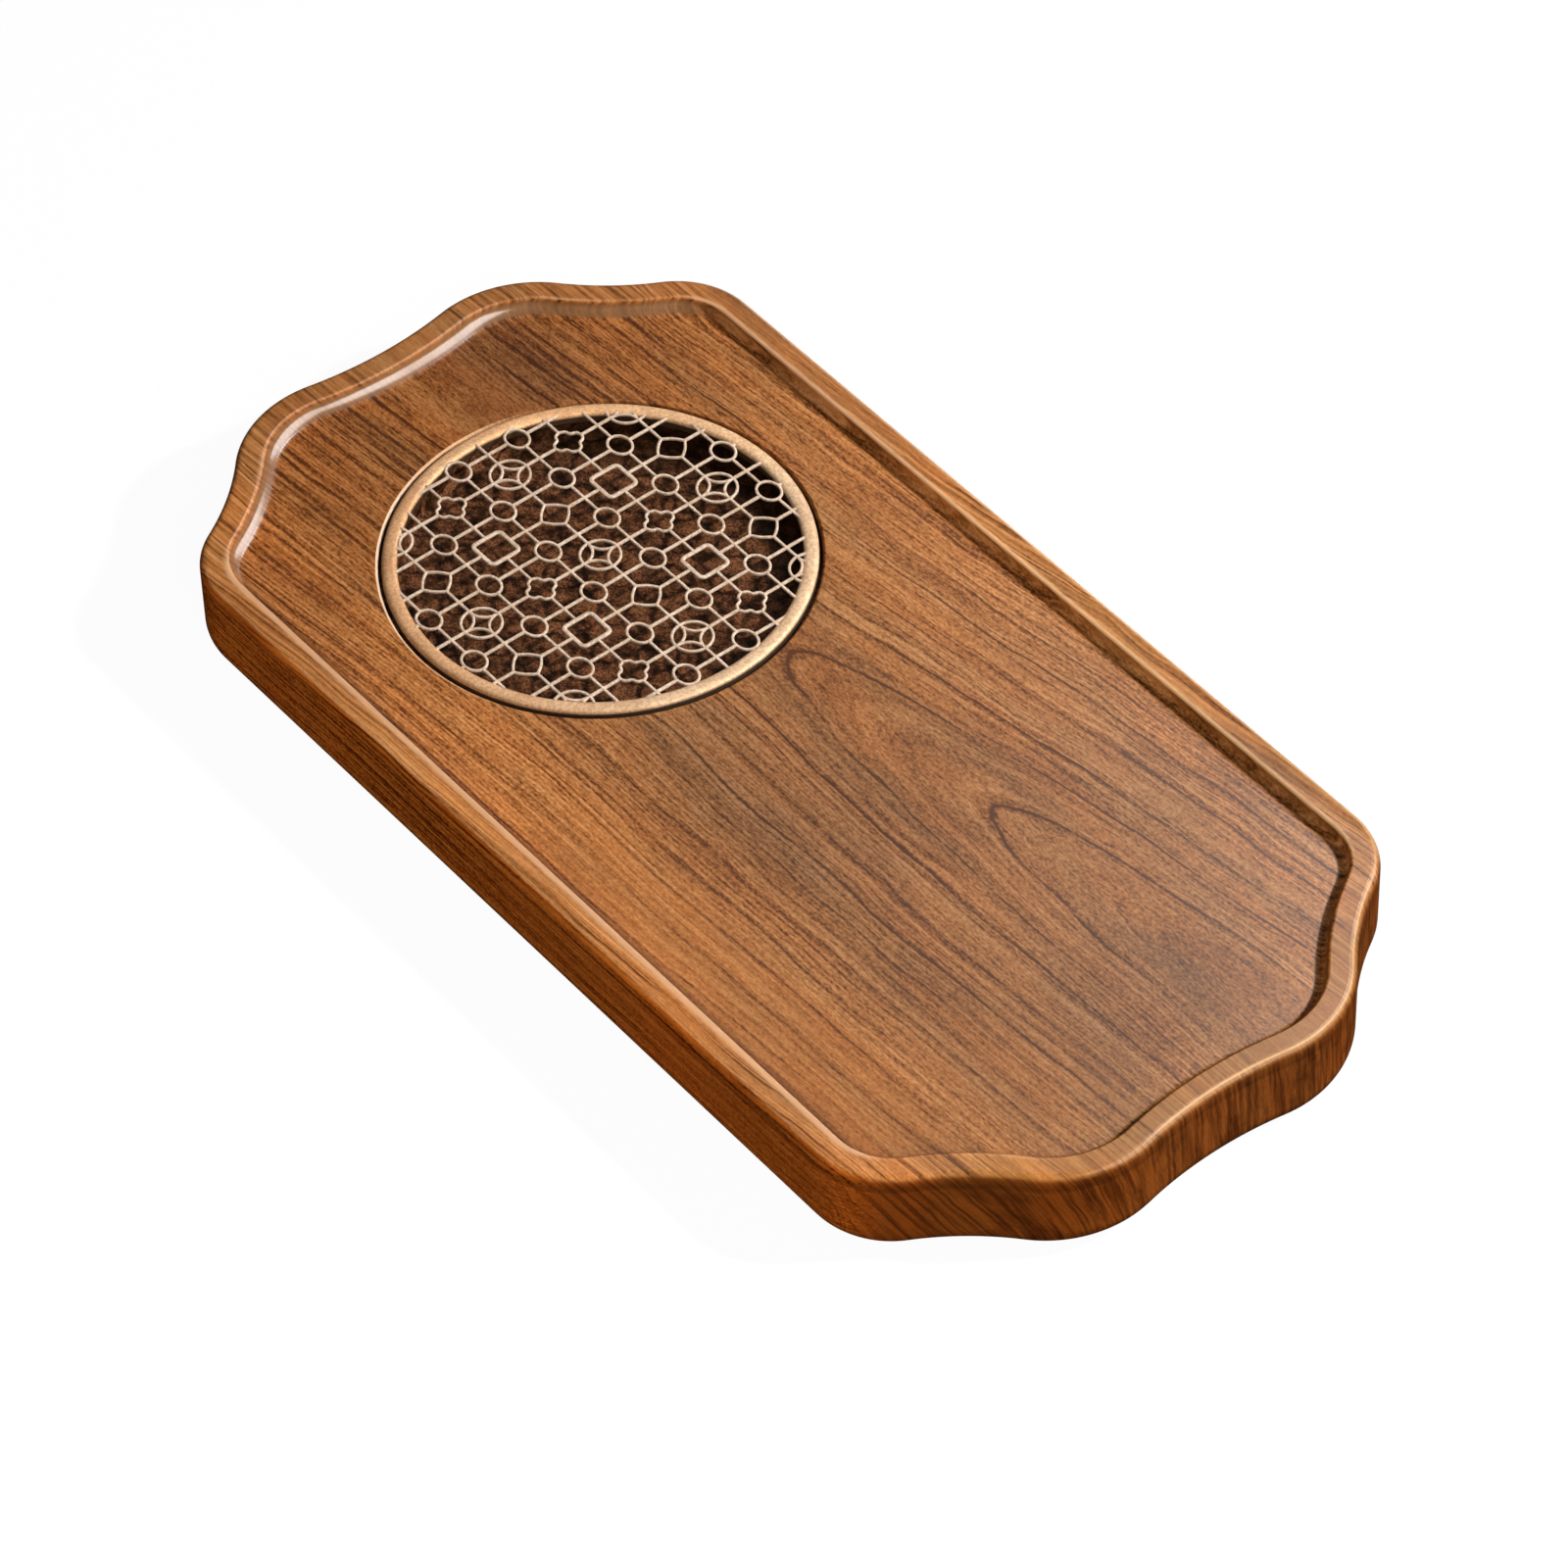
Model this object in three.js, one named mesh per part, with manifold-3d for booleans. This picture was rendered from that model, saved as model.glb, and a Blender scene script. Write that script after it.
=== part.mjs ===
// Tea tray with a drain grille: a routed wooden board, a lift-out metal grille over a lift-out
// water dish, and four soft feet. Millimetres, +Z up, +X along the board, the grille at the -X end.
// The origin is on the table under the middle of the board.
import * as THREE from 'three';
import { mergeVertices } from 'three/addons/utils/BufferGeometryUtils.js';
import Module from 'manifold-3d';

// ---------------------------------------------------------------- driving dimensions
const BOARD_LENGTH = 400;
const BOARD_WIDTH = 202.4;
const BOARD_THICK = 31.5;
const TOP_EDGE_R = 1.6; // rounding of the outer top edge
const BOTTOM_EDGE_R = 8.4; // rounding of the outer bottom edge

// Outline: a straight side runs into corner A, a hollow, corner B, and a hollow across the end.
const CORNER_A_X = 141.8; // centre of corner A along X
const CORNER_A_R = 28.3;
const CORNER_B_Y = 32.8; // centre of corner B along Y
const CORNER_B_R = 38.9;
const HOLLOW_SIDE_R = 95.7; // hollow between A and B
const HOLLOW_END_R = 136.5; // hollow between B and its mirror image

const RIM_WIDTH = 8.8;
const RECESS_DEPTH = 4.5;
const RECESS_COVE_R = 3.4; // cove where the wall meets the floor

const FOOT_R = 10;
const FOOT_THICK = 3;
const FOOT_STAND = 1.5; // how far a foot stands out of the underside
const FOOT_POCKET_R = 10.4;
const FOOT_X = 148;
const FOOT_Y = 60;

const WELL_X = -85.2; // centre of the well
const WELL_MOUTH_R = 67.8;
const WELL_MOUTH_CHAMFER = 0.7;
const WELL_LEDGE_DEPTH = 4.0; // ledge below the tray floor
const WELL_POCKET_R = 64.0;
const WELL_POCKET_DEPTH = 10.7;

const RING_OUTER_R = 66.0;
const RING_INNER_R = 61.2;
const RING_SEAT_R = 62.2; // wall of the step that holds the lattice
const RING_DEPTH = 2.5; // how far the ring reaches below the tray floor
const RING_EDGE_RISE = 0.33; // where the half-round starts, above the tray floor
const RING_CROWN = 1.6; // height of the half-round

const LATTICE_R = 61.9;
const LATTICE_RISE = 1.3; // top of the lattice above the tray floor
const LATTICE_THICK = 1.5;
const LATTICE_PITCH = 22.44; // coin to square, along X and along Y
const BAR_WIDTH = 1.3;
const LINE_WIDTH = 1.15; // width of the motif outlines
const SQUARE_LINE = 1.5;
const COIN_R = 6.65;
const OVAL_RX = 4.8;
const OVAL_RY = 4.15;
const DIAMOND_R = 5.6;
const FLOWER_R = 5.6;
const SQUARE_HALF = 5.9;

const DISH_WALL_R = 63.0;
const DISH_INNER_R = 61.5;
const DISH_FLANGE_R = 66.5;
const DISH_FLANGE_THICK = 1.5;
const DISH_BASE_THICK = 1.5;
const DISH_FLOOR_BELOW = 8.7; // dish floor below the tray floor
const DISH_CORNER = 2.6;

const ROUND_STEPS = 48; // facets around the well, ring and dish

// ---------------------------------------------------------------- levels
const Z_BOTTOM = FOOT_STAND;
const Z_TOP = Z_BOTTOM + BOARD_THICK;
const Z_FLOOR = Z_TOP - RECESS_DEPTH;

// ---------------------------------------------------------------- solid helpers
const wasm = await Module();
wasm.setup();

// Drops normals and uvs, welds corners and removes collapsed triangles.
function weld(geometry) {
  const g = geometry.clone();
  for (const name of Object.keys(g.attributes)) if (name !== 'position') g.deleteAttribute(name);
  const m = mergeVertices(g, 1e-4);
  const src = m.index.array;
  const keep = [];
  for (let i = 0; i < src.length; i += 3) {
    const [a, b, c] = [src[i], src[i + 1], src[i + 2]];
    if (a !== b && b !== c && c !== a) keep.push(a, b, c);
  }
  m.setIndex(keep);
  return m;
}

function signedVolume(g) {
  const p = g.attributes.position;
  const idx = g.index.array;
  const a = new THREE.Vector3();
  const b = new THREE.Vector3();
  const c = new THREE.Vector3();
  let v = 0;
  for (let i = 0; i < idx.length; i += 3) {
    a.fromBufferAttribute(p, idx[i]);
    b.fromBufferAttribute(p, idx[i + 1]);
    c.fromBufferAttribute(p, idx[i + 2]);
    v += a.dot(b.cross(c)) / 6;
  }
  return v;
}

// A closed geometry with its faces outward.
function closed(geometry) {
  const g = weld(geometry);
  if (signedVolume(g) < 0) {
    const idx = g.index.array;
    for (let i = 0; i < idx.length; i += 3) [idx[i + 1], idx[i + 2]] = [idx[i + 2], idx[i + 1]];
  }
  return g;
}

function solid(geometry) {
  const g = closed(geometry);
  return new wasm.Manifold(
    new wasm.Mesh({
      numProp: 3,
      vertProperties: Float32Array.from(g.attributes.position.array),
      triVerts: Uint32Array.from(g.index.array),
    }),
  );
}

function geometryOf(manifold) {
  const mesh = manifold.asOriginal().simplify(0.01).getMesh();
  const g = new THREE.BufferGeometry();
  const pos = new Float32Array(mesh.numVert * 3);
  for (let i = 0; i < mesh.numVert; i++) {
    for (let k = 0; k < 3; k++) pos[3 * i + k] = mesh.vertProperties[mesh.numProp * i + k];
  }
  g.setAttribute('position', new THREE.BufferAttribute(pos, 3));
  g.setIndex(Array.from(mesh.triVerts));
  g.computeVertexNormals();
  return g;
}

// A profile of [radius, z] pairs turned about the Z axis.
function turned(profile, steps = ROUND_STEPS) {
  const g = new THREE.LatheGeometry(
    profile.map(([r, z]) => new THREE.Vector2(r, z)),
    steps,
  );
  g.rotateX(Math.PI / 2);
  return g;
}

// A shape raised from z0 to z1, with an optional quarter-round of radius r at its foot or its head.
function raised(shape, z0, z1, { foot = 0, head = 0, steps = 3 } = {}) {
  const r = foot || head;
  const tall = z1 - z0;
  const g = new THREE.ExtrudeGeometry(shape, {
    depth: tall,
    steps: 1,
    curveSegments: 1,
    bevelEnabled: r > 0,
    bevelThickness: r,
    bevelSize: r,
    bevelOffset: -r,
    bevelSegments: steps,
  });
  g.translate(0, 0, foot ? z0 + r : head ? z0 - r : z0);
  return g;
}

// ---------------------------------------------------------------- board outline
function arc(cx, cy, r, a0, a1, n) {
  const pts = [];
  for (let i = 0; i <= n; i++) {
    const t = a0 + ((a1 - a0) * i) / n;
    pts.push(new THREE.Vector2(cx + r * Math.cos(t), cy + r * Math.sin(t)));
  }
  return pts;
}

// The board's outline moved inward by inset, as a closed list of points.
function outline(inset, fine = 1) {
  const ax = CORNER_A_X;
  const ay = BOARD_WIDTH / 2 - CORNER_A_R;
  const bx = BOARD_LENGTH / 2 - CORNER_B_R;
  const by = CORNER_B_Y;
  // centre of the hollow that touches both corners from outside
  const d = Math.hypot(bx - ax, by - ay);
  const ra = CORNER_A_R + HOLLOW_SIDE_R;
  const rb = CORNER_B_R + HOLLOW_SIDE_R;
  const along = (ra * ra - rb * rb + d * d) / (2 * d);
  const across = Math.sqrt(ra * ra - along * along);
  const ux = (bx - ax) / d;
  const uy = (by - ay) / d;
  const cx = ax + ux * along - uy * across;
  const cy = ay + uy * along + ux * across;
  // centre of the end hollow
  const ex = bx + Math.sqrt((CORNER_B_R + HOLLOW_END_R) ** 2 - by * by);
  const up = (t) => (t < 0 ? t + 2 * Math.PI : t);
  const quarter = [
    ...arc(ex, 0, HOLLOW_END_R + inset, Math.PI, up(Math.atan2(by, bx - ex)), 2 * fine),
    ...arc(bx, by, CORNER_B_R - inset, Math.atan2(-by, ex - bx), Math.atan2(cy - by, cx - bx), 5 * fine).slice(1),
    ...arc(cx, cy, HOLLOW_SIDE_R + inset, up(Math.atan2(by - cy, bx - cx)), up(Math.atan2(ay - cy, ax - cx)), 4 * fine).slice(1),
    ...arc(ax, ay, CORNER_A_R - inset, Math.atan2(cy - ay, cx - ax), Math.PI / 2, 5 * fine).slice(1),
  ];
  const half = [...quarter, ...quarter.map((p) => new THREE.Vector2(-p.x, p.y)).reverse()];
  const lower = half
    .slice(1, -1)
    .map((p) => new THREE.Vector2(p.x, -p.y))
    .reverse();
  return [...half, ...lower];
}

const shapeOf = (points) => new THREE.Shape(points);

// ---------------------------------------------------------------- tray board
const blank = solid(raised(shapeOf(outline(0)), Z_BOTTOM, Z_TOP + 40, { foot: BOTTOM_EDGE_R, steps: 3 })).intersect(
  solid(raised(shapeOf(outline(0)), Z_BOTTOM - 40, Z_TOP, { head: TOP_EDGE_R, steps: 2 })),
);
const recess = solid(raised(shapeOf(outline(RIM_WIDTH)), Z_FLOOR, Z_TOP + 20, { foot: RECESS_COVE_R, steps: 3 }));
const well = solid(
  turned([
    [0, Z_FLOOR - WELL_POCKET_DEPTH],
    [WELL_POCKET_R, Z_FLOOR - WELL_POCKET_DEPTH],
    [WELL_POCKET_R, Z_FLOOR - WELL_LEDGE_DEPTH],
    [WELL_MOUTH_R, Z_FLOOR - WELL_LEDGE_DEPTH],
    [WELL_MOUTH_R, Z_FLOOR - WELL_MOUTH_CHAMFER],
    [WELL_MOUTH_R + WELL_MOUTH_CHAMFER, Z_FLOOR],
    [WELL_MOUTH_R + WELL_MOUTH_CHAMFER, Z_FLOOR + 2],
    [0, Z_FLOOR + 2],
  ]),
).translate([WELL_X, 0, 0]);
const feet = [
  ['foot_front_left', -FOOT_X, -FOOT_Y],
  ['foot_front_right', FOOT_X, -FOOT_Y],
  ['foot_back_left', -FOOT_X, FOOT_Y],
  ['foot_back_right', FOOT_X, FOOT_Y],
];
let boardSolid = blank.subtract(recess).subtract(well);
for (const [, x, y] of feet) {
  const pocket = new THREE.CylinderGeometry(FOOT_POCKET_R, FOOT_POCKET_R, FOOT_THICK + 2, 20);
  pocket.rotateX(Math.PI / 2);
  pocket.translate(x, y, (FOOT_THICK - 2) / 2);
  boardSolid = boardSolid.subtract(solid(pocket));
}

// ---------------------------------------------------------------- grille ring
const ringMid = (RING_OUTER_R + RING_INNER_R) / 2;
const ringHalf = (RING_OUTER_R - RING_INNER_R) / 2;
const zRingEdge = Z_FLOOR + RING_EDGE_RISE;
const zRingFoot = Z_FLOOR - RING_DEPTH;
const zLatticeTop = Z_FLOOR + LATTICE_RISE;
const zLatticeFoot = zLatticeTop - LATTICE_THICK;
const ringProfile = [
  [RING_INNER_R, zRingFoot],
  [RING_OUTER_R, zRingFoot],
];
const stopAngle = Math.acos((RING_SEAT_R - ringMid) / ringHalf);
for (let i = 0; i <= 6; i++) {
  const t = (stopAngle * i) / 6;
  ringProfile.push([ringMid + ringHalf * Math.cos(t), zRingEdge + RING_CROWN * Math.sin(t)]);
}
ringProfile.push([RING_SEAT_R, zLatticeFoot], [RING_INNER_R, zLatticeFoot], [RING_INNER_R, zRingFoot]);

// ---------------------------------------------------------------- grille lattice
const ringShape = (outer, inner) => {
  const s = shapeOf(outer);
  s.holes.push(new THREE.Path(inner));
  return s;
};
const ovalPoints = (rx, ry, n) => {
  const pts = [];
  for (let i = 0; i < n; i++) {
    const t = (2 * Math.PI * (i + 0.5)) / n;
    pts.push(new THREE.Vector2(rx * Math.cos(t), ry * Math.sin(t)));
  }
  return pts;
};
// a square on its point, with short flats on its corners
const diamondPoints = (r, flat) => [
  [r, -flat], [r, flat], [flat, r], [-flat, r], [-r, flat], [-r, -flat], [-flat, -r], [flat, -r],
].map(([x, y]) => new THREE.Vector2(x, y));
// a square with cut corners
const squarePoints = (h, cut) => [
  [h, -h + cut], [h, h - cut], [h - cut, h], [-h + cut, h], [-h, h - cut], [-h, -h + cut], [-h + cut, -h], [h - cut, -h],
].map(([x, y]) => new THREE.Vector2(x, y));
// four lobes on the axes with a notch between each pair
const flowerPoints = (r, notch) => {
  const pts = [];
  for (let k = 0; k < 4; k++) {
    const c = Math.cos((k * Math.PI) / 2);
    const s = Math.sin((k * Math.PI) / 2);
    for (const [u, v] of [[r * 0.72, -r * 0.42], [r, -r * 0.12], [r, r * 0.12], [r * 0.72, r * 0.42], [notch, notch]]) {
      pts.push(new THREE.Vector2(u * c - v * s, u * s + v * c));
    }
  }
  return pts;
};
// one of the coin's four inner arcs, from the point at angle a to the point a quarter turn on
const coinArc = (a) => {
  const r = COIN_R - LINE_WIDTH / 2;
  const reach = r * 1.32; // centre of the arc, outside the coin, so that the arc bows towards the middle
  const mid = a + Math.PI / 4;
  const cx = reach * Math.cos(mid);
  const cy = reach * Math.sin(mid);
  const rad = Math.hypot(r * Math.cos(a) - cx, r * Math.sin(a) - cy);
  const a0 = Math.atan2(r * Math.sin(a) - cy, r * Math.cos(a) - cx);
  let a1 = Math.atan2(r * Math.sin(a + Math.PI / 2) - cy, r * Math.cos(a + Math.PI / 2) - cx);
  while (a1 > a0) a1 -= 2 * Math.PI;
  const w = LINE_WIDTH / 2;
  return shapeOf([...arc(cx, cy, rad + w, a0, a1, 3), ...arc(cx, cy, rad - w, a1, a0, 3)]);
};

const kindAt = (a, b) => {
  if (a % 2 !== 0 && b % 2 !== 0) return 'oval';
  if (a % 2 !== 0 || b % 2 !== 0) return null;
  const i = Math.abs(a / 2) % 2;
  const j = Math.abs(b / 2) % 2;
  if (!i && !j) return 'coin';
  if (i && !j) return 'diamond';
  if (!i && j) return 'flower';
  return 'square';
};
const reachX = { coin: COIN_R, diamond: DIAMOND_R, flower: FLOWER_R, square: SQUARE_HALF, oval: OVAL_RX };
const reachY = { ...reachX, oval: OVAL_RY };
const HALF_PITCH = LATTICE_PITCH / 2;
const STEPS_OUT = 7;
const inside = (a, b, extra) => Math.hypot(a, b) * HALF_PITCH < LATTICE_R + extra;

const latticePieces = [];
const prism = (shape, x, y) => {
  const g = raised(shape, zLatticeFoot, zLatticeTop);
  g.translate(x, y, 0);
  latticePieces.push(solid(g));
};
const bar = (x0, x1, y0, y1) => {
  const g = new THREE.BoxGeometry(x1 - x0, y1 - y0, LATTICE_THICK);
  g.translate((x0 + x1) / 2, (y0 + y1) / 2, (zLatticeFoot + zLatticeTop) / 2);
  latticePieces.push(solid(g));
};

for (let a = -STEPS_OUT; a <= STEPS_OUT; a++) {
  for (let b = -STEPS_OUT; b <= STEPS_OUT; b++) {
    const kind = kindAt(a, b);
    if (!kind || !inside(a, b, kind === 'coin' ? 4 : -1)) continue;
    const x = a * HALF_PITCH;
    const y = b * HALF_PITCH;
    const w = LINE_WIDTH;
    if (kind === 'oval') prism(ringShape(ovalPoints(OVAL_RX, OVAL_RY, 8), ovalPoints(OVAL_RX - w, OVAL_RY - w, 8)), x, y);
    if (kind === 'diamond') prism(ringShape(diamondPoints(DIAMOND_R, 0.9), diamondPoints(DIAMOND_R - w * 1.35, 0.5)), x, y);
    if (kind === 'square') prism(ringShape(squarePoints(SQUARE_HALF, 1.6), squarePoints(SQUARE_HALF - SQUARE_LINE, 0.9)), x, y);
    if (kind === 'flower') prism(ringShape(flowerPoints(FLOWER_R, FLOWER_R * 0.46), flowerPoints(FLOWER_R - w * 1.05, (FLOWER_R - w) * 0.3)), x, y);
    if (kind === 'coin') {
      prism(ringShape(ovalPoints(COIN_R, COIN_R, 12), ovalPoints(COIN_R - w, COIN_R - w, 12)), x, y);
      for (let k = 0; k < 4; k++) prism(coinArc((k * Math.PI) / 2), x, y);
    }
  }
}
// Bars along X and Y from motif to motif on every grid line; at the rim they run on into the ring.
const run = (line, reach, put) => {
  const stops = [];
  for (let s = -STEPS_OUT; s <= STEPS_OUT; s++) {
    const kind = kindAt(s, line);
    if (kind && inside(s, line, kind === 'coin' ? 4 : -1)) stops.push([s * HALF_PITCH, reach[kind] - 0.5]);
  }
  const chord = Math.sqrt(Math.max(0, (LATTICE_R + 1) ** 2 - (line * HALF_PITCH) ** 2));
  let from = -chord;
  for (const [at, r] of stops) {
    if (at - r > from) put(from, at - r);
    from = at + r;
  }
  if (chord > from) put(from, chord);
};
for (let line = -5; line <= 5; line++) {
  const c = line * HALF_PITCH;
  run(line, reachX, (p, q) => bar(p, q, c - BAR_WIDTH / 2, c + BAR_WIDTH / 2));
  run(line, reachY, (p, q) => bar(c - BAR_WIDTH / 2, c + BAR_WIDTH / 2, p, q));
}
const latticeDisc = new THREE.CylinderGeometry(LATTICE_R, LATTICE_R, LATTICE_THICK + 2, ROUND_STEPS);
latticeDisc.rotateX(Math.PI / 2);
latticeDisc.translate(0, 0, (zLatticeFoot + zLatticeTop) / 2);
const latticeSolid = latticePieces.reduce((m, p) => m.add(p)).intersect(solid(latticeDisc));

// ---------------------------------------------------------------- water dish
const zDishFloor = Z_FLOOR - DISH_FLOOR_BELOW;
const zDishBase = zDishFloor - DISH_BASE_THICK;
const zDishRim = zRingFoot;
const dishProfile = [
  [0, zDishBase],
  [DISH_WALL_R - DISH_CORNER, zDishBase],
  [DISH_WALL_R, zDishBase + DISH_CORNER],
  [DISH_WALL_R, zDishRim - DISH_FLANGE_THICK],
  [DISH_FLANGE_R, zDishRim - DISH_FLANGE_THICK],
  [DISH_FLANGE_R, zDishRim],
  [DISH_INNER_R, zDishRim],
  [DISH_INNER_R, zDishFloor + DISH_CORNER * 0.7],
  [DISH_INNER_R - DISH_CORNER * 0.7, zDishFloor],
  [0, zDishFloor],
];

// ---------------------------------------------------------------- feet
const footProfile = [
  [0, 0],
  [FOOT_R - 0.8, 0],
  [FOOT_R, 0.8],
  [FOOT_R, FOOT_THICK],
  [0, FOOT_THICK],
];

// ---------------------------------------------------------------- assembly
const wood = new THREE.MeshStandardMaterial({ color: 0xa56a3c, roughness: 0.55, metalness: 0 });
const bronze = new THREE.MeshStandardMaterial({ color: 0xd0a274, roughness: 0.38, metalness: 1 });
const paleBronze = new THREE.MeshStandardMaterial({ color: 0xd8bd9a, roughness: 0.45, metalness: 1 });
const brownResin = new THREE.MeshStandardMaterial({ color: 0x46301f, roughness: 0.7, metalness: 0 });
const softPad = new THREE.MeshStandardMaterial({ color: 0x2b2724, roughness: 0.9, metalness: 0 });

function piece(name, geometry, material) {
  const m = new THREE.Mesh(geometry, material);
  m.name = name;
  return m;
}

const group = new THREE.Group();
group.add(piece('tray_board', geometryOf(boardSolid), wood));

const insert = new THREE.Group(); // everything that drops into the well
insert.position.x = WELL_X;
insert.add(piece('water_dish', closed(turned(dishProfile)), brownResin));
insert.add(piece('grille_ring', closed(turned(ringProfile)), bronze));
insert.add(piece('grille_lattice', geometryOf(latticeSolid), paleBronze));
group.add(insert);

for (const [name, x, y] of feet) {
  const f = piece(name, closed(turned(footProfile, 20)), softPad);
  f.position.set(x, y, 0);
  group.add(f);
}

export default group;
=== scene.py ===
"""Looks of a wooden tea tray with a drain grille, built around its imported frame.

Lengths below are millimetres in the row frame (+X along the board, +Z up, origin on the table under the middle of the
board) and become metres when a mesh is made.
"""

import math

import bmesh
import bpy
from mathutils import Matrix, Vector


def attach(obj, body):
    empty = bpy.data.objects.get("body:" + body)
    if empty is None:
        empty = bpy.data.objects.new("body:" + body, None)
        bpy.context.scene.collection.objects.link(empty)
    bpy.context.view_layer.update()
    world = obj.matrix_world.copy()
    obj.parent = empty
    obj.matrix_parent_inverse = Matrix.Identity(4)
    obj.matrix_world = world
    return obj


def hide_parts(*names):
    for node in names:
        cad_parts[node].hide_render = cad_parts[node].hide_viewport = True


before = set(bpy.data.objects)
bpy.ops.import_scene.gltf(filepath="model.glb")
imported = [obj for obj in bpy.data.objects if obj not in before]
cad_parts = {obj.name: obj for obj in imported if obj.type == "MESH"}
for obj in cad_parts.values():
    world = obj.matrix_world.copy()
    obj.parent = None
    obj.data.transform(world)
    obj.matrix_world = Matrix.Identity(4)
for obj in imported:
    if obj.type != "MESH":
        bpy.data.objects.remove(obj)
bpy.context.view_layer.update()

# ------------------------------------------------------------------ sizes, the same as the frame's
BOARD_LENGTH = 400.0
BOARD_WIDTH = 202.4
Z_BOTTOM = 1.5
Z_TOP = 33.0
Z_FLOOR = 28.5
TOP_EDGE_R = 2.6
BOTTOM_EDGE_R = 8.4
CORNER_A_X = 141.8
CORNER_A_R = 28.3
CORNER_B_Y = 32.8
CORNER_B_R = 38.9
HOLLOW_SIDE_R = 95.7
HOLLOW_END_R = 136.5
RIM_WIDTH = 8.8
RIM_INNER_R = 1.0
COVE_R = 3.4

FOOT_R = 10.0
FOOT_THICK = 3.0
FOOT_POCKET_R = 10.4
FEET = {
    "foot_front_left": (-148.0, -60.0),
    "foot_front_right": (148.0, -60.0),
    "foot_back_left": (-148.0, 60.0),
    "foot_back_right": (148.0, 60.0),
}

WELL_X = -85.2
WELL_MOUTH_R = 67.0
WELL_EDGE_R = 1.0
Z_LEDGE = 24.5
WELL_POCKET_R = 64.0
Z_POCKET = 17.8

RING_OUTER_R = 66.0
RING_INNER_R = 61.2
Z_RING_FOOT = 26.0
Z_RING_EDGE = 28.3
RING_CROWN = 1.35
RING_SKIRT_R = 64.2
Z_RING_FLANGE = 26.6

LATTICE_R = 61.9
Z_LATTICE_FOOT = 28.9
Z_LATTICE_TOP = 29.65
HALF_PITCH = 11.22
BAR_WIDTH = 0.9
CROSS_WIDTH = 1.0
LINE_WIDTH = 0.9
SQUARE_LINE = 1.35
COIN_R = 6.65
OVAL_RX = 4.8
OVAL_RY = 4.0
DIAMOND_R = 5.6
FLOWER_R = 5.6
SQUARE_HALF = 5.9

DISH_WALL_R = 63.0
DISH_INNER_R = 61.5
DISH_FLANGE_R = 66.5
Z_DISH_FLOOR = 19.8
Z_DISH_BASE = 18.3
Z_DISH_RIM = 26.0


# ------------------------------------------------------------------ mesh helpers
class Shell:
    """Vertices with their own normals, and faces. Profiles are lists of (u, z, nu, nz). The painted-light value is
    positive where a highlight is painted on an edge and negative where shade is painted in corners and gaps; flank is 1
    on the outer sides and -1 in the hollow at the grille's end."""

    def __init__(self):
        self.bm = bmesh.new()
        self.normals = []
        self.painted_light = []
        self.flank = []

    def vert(self, x, y, z, n, painted_light=0.0, flank=0.0):
        self.normals.append(n)
        self.painted_light.append(painted_light)
        self.flank.append(flank)
        return self.bm.verts.new((x * 0.001, y * 0.001, z * 0.001))

    def band(self, a, b):
        n = len(a)
        for i in range(n):
            j = (i + 1) % n
            self.bm.faces.new((a[i], a[j], b[j], b[i]))

    def lathe(self, profile, cx, cy, steps, painted_light=lambda c, s, z: 0.0):
        """Turns a profile of (r, z, nr, nz) about a vertical line; returns its rings. A radius of 0 gives one vertex."""
        rings = []
        for r, z, nr, nz in profile:
            if r == 0:
                rings.append([self.vert(cx, cy, z, (0, 0, nz))])
                continue
            ring = []
            for i in range(steps):
                t = 2 * math.pi * i / steps
                c, s = math.cos(t), math.sin(t)
                ring.append(self.vert(cx + r * c, cy + r * s, z, (nr * c, nr * s, nz), painted_light(c, s, z) if nz < 0.97 else 0.0))
            rings.append(ring)
        for a, b in zip(rings, rings[1:]):
            if len(a) == 1 or len(b) == 1:
                hub, ring = (a[0], b) if len(a) == 1 else (b[0], a)
                for i in range(steps):
                    self.bm.faces.new((hub, ring[i], ring[(i + 1) % steps]))
            else:
                self.band(a, b)
        return rings

    def fill(self, *loops):
        """Flat triangles between an outer loop and the loops inside it."""
        edges = []
        for loop in loops:
            for i in range(len(loop)):
                a, b = loop[i], loop[(i + 1) % len(loop)]
                edges.append(self.bm.edges.get((a, b)) or self.bm.edges.new((a, b)))
        bmesh.ops.triangle_fill(self.bm, use_beauty=True, use_dissolve=False, edges=edges)

    def done(self, name):
        bmesh.ops.recalc_face_normals(self.bm, faces=self.bm.faces)
        me = bpy.data.meshes.new(name)
        self.bm.to_mesh(me)
        self.bm.free()
        me.shade_smooth()
        me.normals_split_custom_set_from_vertices([Vector(n).normalized() for n in self.normals])
        me.attributes.new("painted_light", "FLOAT", "POINT").data.foreach_set("value", self.painted_light)
        me.attributes.new("flank", "FLOAT", "POINT").data.foreach_set("value", self.flank)
        ob = bpy.data.objects.new(name, me)
        bpy.context.scene.collection.objects.link(ob)
        return ob


def bend(cu, cz, r, a0, a1, n, sign=1):
    """A rounding in a profile: an arc about (cu, cz) from angle a0 to a1 in degrees, with its normals."""
    out = []
    for i in range(n + 1):
        t = math.radians(a0 + (a1 - a0) * i / n)
        c, s = math.cos(t), math.sin(t)
        out.append((cu + r * c, cz + r * s, sign * c, sign * s))
    return out


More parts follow.
